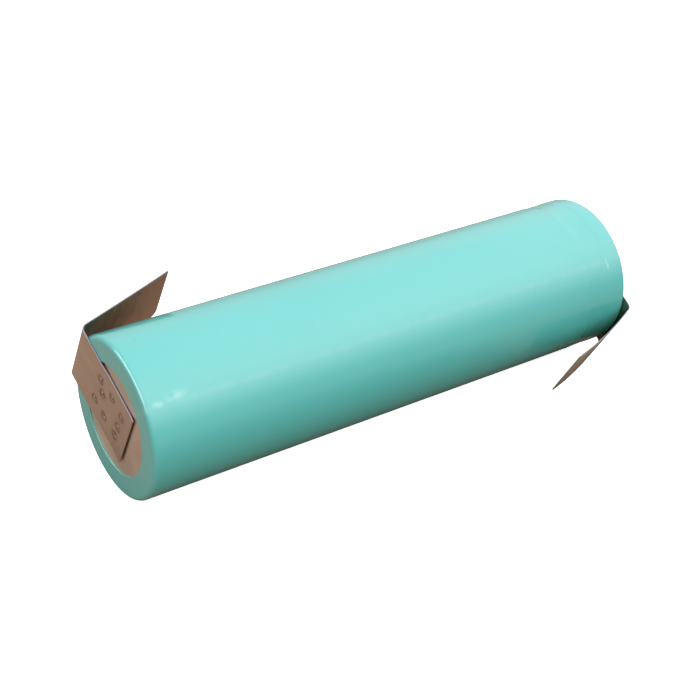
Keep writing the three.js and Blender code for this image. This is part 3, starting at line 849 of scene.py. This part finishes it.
def film():
    """Glossy shrink film with specks of dirt, and painted highlights in spots and in a mottled band along the
    crease.
    """
    s = Shader("sleeve_film", IOR=1.5, Specular_IOR_Level=0.85, Coat_Weight=0.9, Coat_Roughness=0.09)
    broad = s.noise(60, 2, s.stretched((0.5, 1, 1)))
    cloud = s.noise(420)
    fine = s.noise(1900, 1)
    specks = s.any_of([s.spot(x, up, r * MM * 1.3, r * MM * 0.6) for x, up, r in SPECKS])
    # Painted highlights: soft whitish spots standing in for reflections of the light on the film.
    painted_highlights = s.any_of([s.spot(x, up, r * MM, 0.1 * MM, k) for x, up, r, k in PAINTED_HIGHLIGHT_SPOTS])
    painted_highlights = s.math("MULTIPLY", painted_highlights, s.band(s.noise(900), 0.3, 0.6))
    # Painted highlight along the crease: a mottled whitish band at the lower edge of the light's reflection.
    crease_highlight = s.math("MULTIPLY_ADD", s.band(s.noise(800), 0.35, 0.7), 0.16, 0.10)
    painted_highlights = s.math("MAXIMUM", painted_highlights, s.math("MULTIPLY", s.attribute("crease"), crease_highlight))
    colour = s.mix(s.band(broad, 0.3, 0.7), *FILM_TONES)
    colour = s.cover(colour, s.band(cloud, 0.45, 0.75), 0.10, FILM_CLOUD)
    colour = s.cover(colour, specks, 0.75, FILM_SPECK)
    colour = s.cover(colour, painted_highlights, 0.45, FILM_PAINTED_HIGHLIGHT)
    roughness = s.math("MULTIPLY_ADD", cloud, 0.07, 0.17)
    roughness = s.math("MULTIPLY_ADD", fine, 0.03, roughness)
    peel = s.bump(s.noise(1500, 2), 0.003 * MM, 0.3)
    waves = s.bump(s.noise(260, 2, s.stretched((0.35, 1, 1))), 0.02 * MM, 0.4, peel)
    return s.finish(colour, roughness, waves)


def nickel():
    """Rolled nickel with a painted dark reflection on its inner face, darker towards the fold, and burnt round the
    spot welds.
    """
    s = Shader("nickel_strip", Metallic=1.0)
    lie = s.attribute("lie", "Vector")
    roll = s.noise(1.0, source=s.stretched((260, 5200, 1), lie))
    wide = s.noise(1.0, source=s.stretched((150, 420, 1), lie))
    streaks = s.noise(1.0, source=s.stretched((900, 330, 1), lie))
    patchy = s.band(s.noise(2600), 0.2, 0.6)
    faded = s.math("SUBTRACT", streaks, 0.5)
    faded = s.math("MULTIPLY_ADD", faded, 0.7, s.attribute("reach"), clamp=True)
    # Painted dark reflection on the inner face: darker near the fold, lighter towards the tip, in streaks.
    painted_reflection = s.mix(s.band(faded, 0.25, 0.85), *NICKEL_PAINTED_REFLECTIONS)
    colour = s.mix(s.band(wide, 0.3, 0.7), *NICKEL_TONES)
    layers = (
        (s.band(roll, 0.35, 0.75), 0.16, NICKEL_ROLLED),
        # Painted light: lighter copy of the nickel on the positive strip.
        (s.attribute("painted_lighter_copy"), 0.9, NICKEL_PAINTED_LIGHT),
        (s.attribute("inner"), 0.85, painted_reflection),
        (s.attribute("edge"), 0.9, NICKEL_EDGE),
        (s.attribute("halo"), 0.6, WELD_HALO),
        (s.math("MULTIPLY", s.attribute("burn"), patchy), 0.95, WELD_BURN),
        (s.attribute("scar"), 0.85, WELD_SCAR),
        # Painted shade beside each weld's middle.
        (s.attribute("painted_weld_shade"), 0.9, WELD_PAINTED_SHADE),
    )
    for mask, strength, tone in layers:
        colour = s.cover(colour, mask, strength, tone)
    # Painted highlight beside each weld's middle.
    colour = s.mix(s.attribute("painted_glint"), colour, WELD_PAINTED_HIGHLIGHT)
    roughness = s.math("MULTIPLY_ADD", roll, 0.06, 0.15)
    roughness = s.math("MULTIPLY_ADD", wide, 0.06, roughness)
    roughness = s.math("MULTIPLY_ADD", s.attribute("edge"), 0.55, roughness)
    lines = s.bump(roll, 0.0012 * MM, 0.55)
    dents = s.bump(s.noise(700), 0.006 * MM, 0.5, lines)
    return s.finish(colour, roughness, dents)


def steel():
    """Plated steel sheet with a fine matte grain."""
    s = Shader("plated_steel", Metallic=1.0)
    wide = s.noise(240)
    fine = s.noise(3200, 4)
    colour = s.mix(s.band(wide, 0.3, 0.7), *STEEL_TONES)
    colour = s.cover(colour, s.band(fine, 0.55, 0.8), 0.25, STEEL_SPECKLE)
    roughness = s.math("MULTIPLY_ADD", wide, 0.12, 0.33)
    grain = s.bump(fine, 0.002 * MM, 0.5)
    dents = s.bump(s.noise(500, 2), 0.006 * MM, 0.4, grain)
    return s.finish(colour, roughness, dents)


def plain(name, first, second, rough, metallic, scale, relief, stretch):
    """A finish for the pieces that are mostly hidden: two tones, uneven roughness and fine relief."""
    s = Shader(name, Metallic=metallic)
    source = s.stretched(stretch)
    wide = s.noise(scale, source=source)
    fine = s.noise(scale * 9, source=source)
    colour = s.mix(s.band(wide, 0.3, 0.7), linear(*first), linear(*second))
    roughness = s.math("MULTIPLY_ADD", fine, 0.16, rough - 0.08)
    return s.finish(colour, roughness, s.bump(fine, relief * MM, 0.6))


def dress(pieces):
    """Puts each slot's material on the pieces and on the CAD's nodes."""
    finishes = {"sleeve_film": film(), "nickel_strip": nickel(), "plated_steel": steel()}
    for row in PLAIN_FINISHES:
        finishes[row[0]] = plain(*row)
    for obj in pieces:
        obj.data.materials.append(finishes[obj["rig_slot"]])
    for part in frame["record"]["subparts"]:
        obj = frame["nodes"][part["node"]]
        if not obj.data.materials:
            obj.data.materials.append(None)
        for k in range(len(obj.material_slots)):
            obj.material_slots[k].material = finishes[part["material_slot"]]


# ---------------------------------------------------------------- floor, light and camera


def make_floor():
    """Level floor under the cell. Its reflected tones change over bands, each an axis, the places in
    millimetres where the change starts and ends, and the new tone."""
    low = CAD_BOX[0][2]
    size = FLOOR_SIZE
    corners = [(-size, -size), (size, -size), (size, size), (-size, size)]
    mesh = bpy.data.meshes.new("floor")
    mesh.from_pydata([(x, y, low) for x, y in corners], [], [(0, 1, 2, 3)])
    floor = bpy.data.objects.new("floor", mesh)
    bpy.context.scene.collection.objects.link(floor)
    material = bpy.data.materials.new("pale_floor")
    material.use_nodes = True
    nodes = Nodes(material.node_tree)
    nodes.tree.nodes.clear()
    place = nodes.add("ShaderNodeSeparateXYZ")
    nodes.link(nodes.add("ShaderNodeTexCoord").outputs["Object"], place.inputs[0])

    def tone(colour, bands):
        for axis, start, end, beyond in bands:
            passed = nodes.band(place.outputs[axis], start * MM, end * MM, kind="LINEAR")
            colour = nodes.mix(passed, colour, beyond)
        return colour

    def matte(colour, glow, emitted):
        node = nodes.add("ShaderNodeBsdfPrincipled", Roughness=1, Specular_IOR_Level=0)
        nodes.link(colour, node.inputs["Base Color"])
        nodes.link(emitted, node.inputs["Emission Color"])
        node.inputs["Emission Strength"].default_value = glow
        return node.outputs[0]

    # Reflected tones: a painted shadow under the cell, a painted pool of light by the positive leg and painted
    # shade behind the cell.
    reflected = tone(
        FLOOR_MIRRORED_PAINTED_SHADOW,
        [
            ("X", 52, 62, FLOOR_MIRRORED_PAINTED_LIGHT),
            ("Y", -11, -8, FLOOR_MIRRORED_PAINTED_SHADOW),
            ("Y", 8, 16, FLOOR_MIRRORED_PAINTED_SHADE),
            ("X", 6, -4, FLOOR_MIRRORED),
            ("Y", 25, 70, FLOOR_MIRRORED_FAR),
            ("Y", -22, -75, FLOOR_MIRRORED_FRONT),
        ],
    )
    # Painted shade in the light the floor sends up under the far end.
    bounced = tone(FLOOR_BOUNCE, [("X", 25, 55, FLOOR_BOUNCE_PAINTED_SHADE)])
    mirrored = matte(reflected, FLOOR_GLOW, FLOOR_MIRRORED)
    unseen = nodes.by_ray("Is Glossy Ray", mirrored, matte(bounced, FLOOR_GLOW, FLOOR_BOUNCE))
    surface = nodes.by_ray("Is Camera Ray", matte(WHITE, FLOOR_GLOW_SEEN, WHITE), unseen)
    nodes.add("ShaderNodeOutputMaterial", Surface=surface)
    mesh.materials.append(material)


def make_world():
    """White sky to the camera. To everything else it grows brighter upwards and to the front."""
    world = bpy.data.worlds.new("studio")
    bpy.context.scene.world = world
    world.use_nodes = True
    nodes = Nodes(world.node_tree)
    nodes.tree.nodes.clear()
    direction = nodes.add("ShaderNodeTexCoord").outputs["Generated"]
    rise = nodes.band(nodes.vector("DOT_PRODUCT", direction, SKY_UP), *SKY_RISE, top=SKY)
    lean = nodes.math("ADD", nodes.vector("DOT_PRODUCT", direction, SKY_LEAN), 1)
    strength = nodes.math("MULTIPLY_ADD", rise, lean, SKY_LOW)
    seen = nodes.add("ShaderNodeBackground", Color=WHITE, Strength=SKY_SEEN)
    unseen = nodes.add("ShaderNodeBackground", Color=SKY_TINT, Strength=strength)
    surface = nodes.by_ray("Is Camera Ray", seen.outputs[0], unseen.outputs[0])
    nodes.add("ShaderNodeOutputWorld", Surface=surface)


def make_lamp():
    """Large soft lamp to the left of the cell that adds a highlight but no diffuse light."""
    data = bpy.data.lights.new("left", "AREA")
    data.shape = "RECTANGLE"
    data.size, data.size_y = LAMP_SIZE
    data.energy = LAMP_POWER
    lamp = bpy.data.objects.new("left", data)
    bpy.context.scene.collection.objects.link(lamp)
    lamp.location = (Vector(CAD_BOX[0]) + Vector(CAD_BOX[1])) / 2 + LAMP_PLACE
    lamp.rotation_euler = (-LAMP_PLACE).to_track_quat("-Z", "Y").to_euler()
    lamp.visible_diffuse = False


def make_camera():
    """Camera fitted to the cell's outline in the photo."""
    data = bpy.data.cameras.new("camera")
    data.sensor_width = CAMERA_SENSOR
    data.lens = CAMERA_LENS
    data.clip_start = 0.01
    data.clip_end = 100
    camera = bpy.data.objects.new("camera", data)
    bpy.context.scene.collection.objects.link(camera)
    turn = Matrix((CAMERA_RIGHT, CAMERA_UP, -CAMERA_AHEAD)).transposed().to_4x4()
    camera.matrix_world = Matrix.Translation(CAMERA_PLACE) @ turn
    bpy.context.scene.camera = camera


def main():
    make_camera()
    make_floor()
    make_world()
    make_lamp()
    negative_gap = CAN_LOW.x - STRIP
    positive_gap = CAD_BOX[1][0] - STRIP - CAP_HIGH.x
    strips = [
        Strip("negative", NEGATIVE_WELDS, negative_gap, NEGATIVE_LEG_SHAPE),
        Strip("positive", POSITIVE_WELDS, positive_gap, POSITIVE_LEG_SHAPE),
    ]
    pieces = [make_sleeve(), make_washer(), make_cap()]
    pieces += [make_strip(strip) for strip in strips]
    dress(pieces)
    bpy.context.scene.view_settings.view_transform = "Standard"


main()
